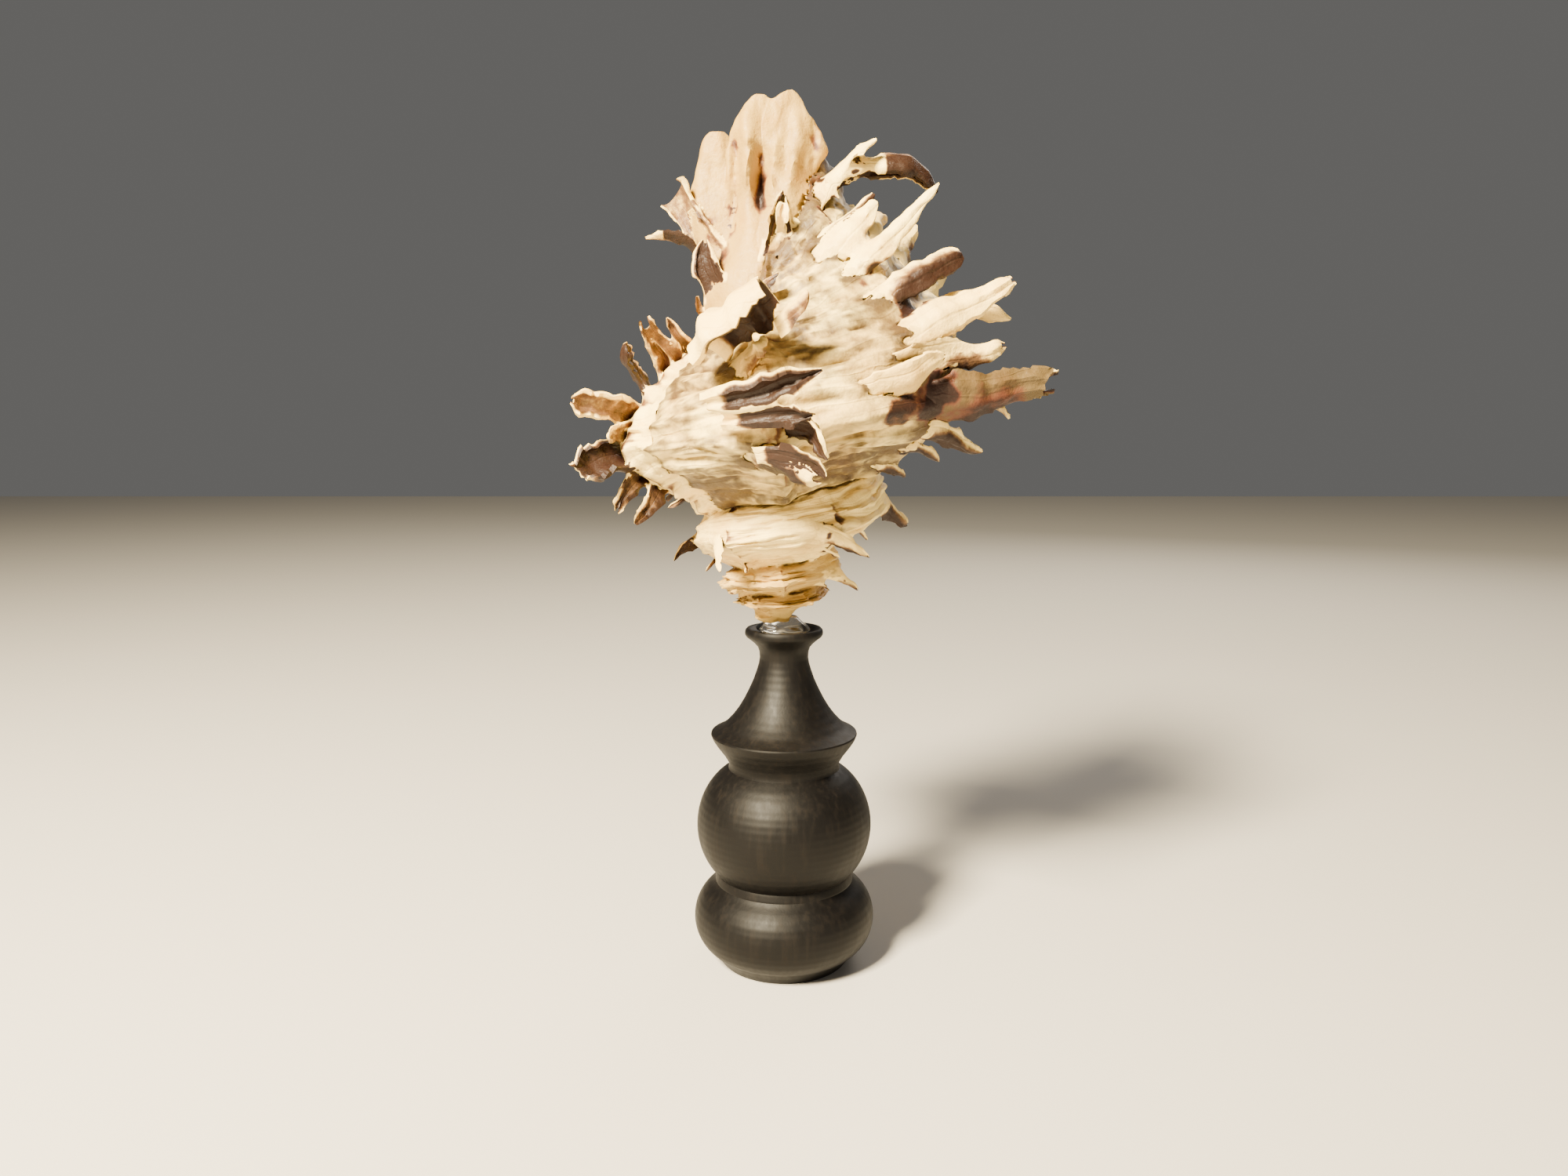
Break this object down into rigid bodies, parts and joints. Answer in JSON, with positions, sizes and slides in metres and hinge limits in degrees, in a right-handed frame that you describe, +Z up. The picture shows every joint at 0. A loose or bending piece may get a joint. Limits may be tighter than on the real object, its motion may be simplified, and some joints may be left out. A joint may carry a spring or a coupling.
{
  "type": "mounted murex shell",
  "caption": "Spiny murex shell fixed apex down with clear glue on a turned black wooden pillar, a small display piece that stands on a shelf.",
  "frame": {"origin": "the middle of the pillar's flat foot, on the surface that it stands on", "axes": "+Z up the pillar to the shell's canal, -Y the side that shows the shell's back, +X the side of the longest fronds"},
  "size_m": [0.0867, 0.0883, 0.17],
  "materials": {
    "ebonised_wood": "satin black stain over a turned surface",
    "clear_glue": "clear, glossy",
    "shell_lime": "dry cream lime with brown frond hollows"
  },
  "bodies": {
    "root": {"stand": "ebonised_wood", "glue_bead": "clear_glue", "shell": "shell_lime"}
  },
  "joints": []
}
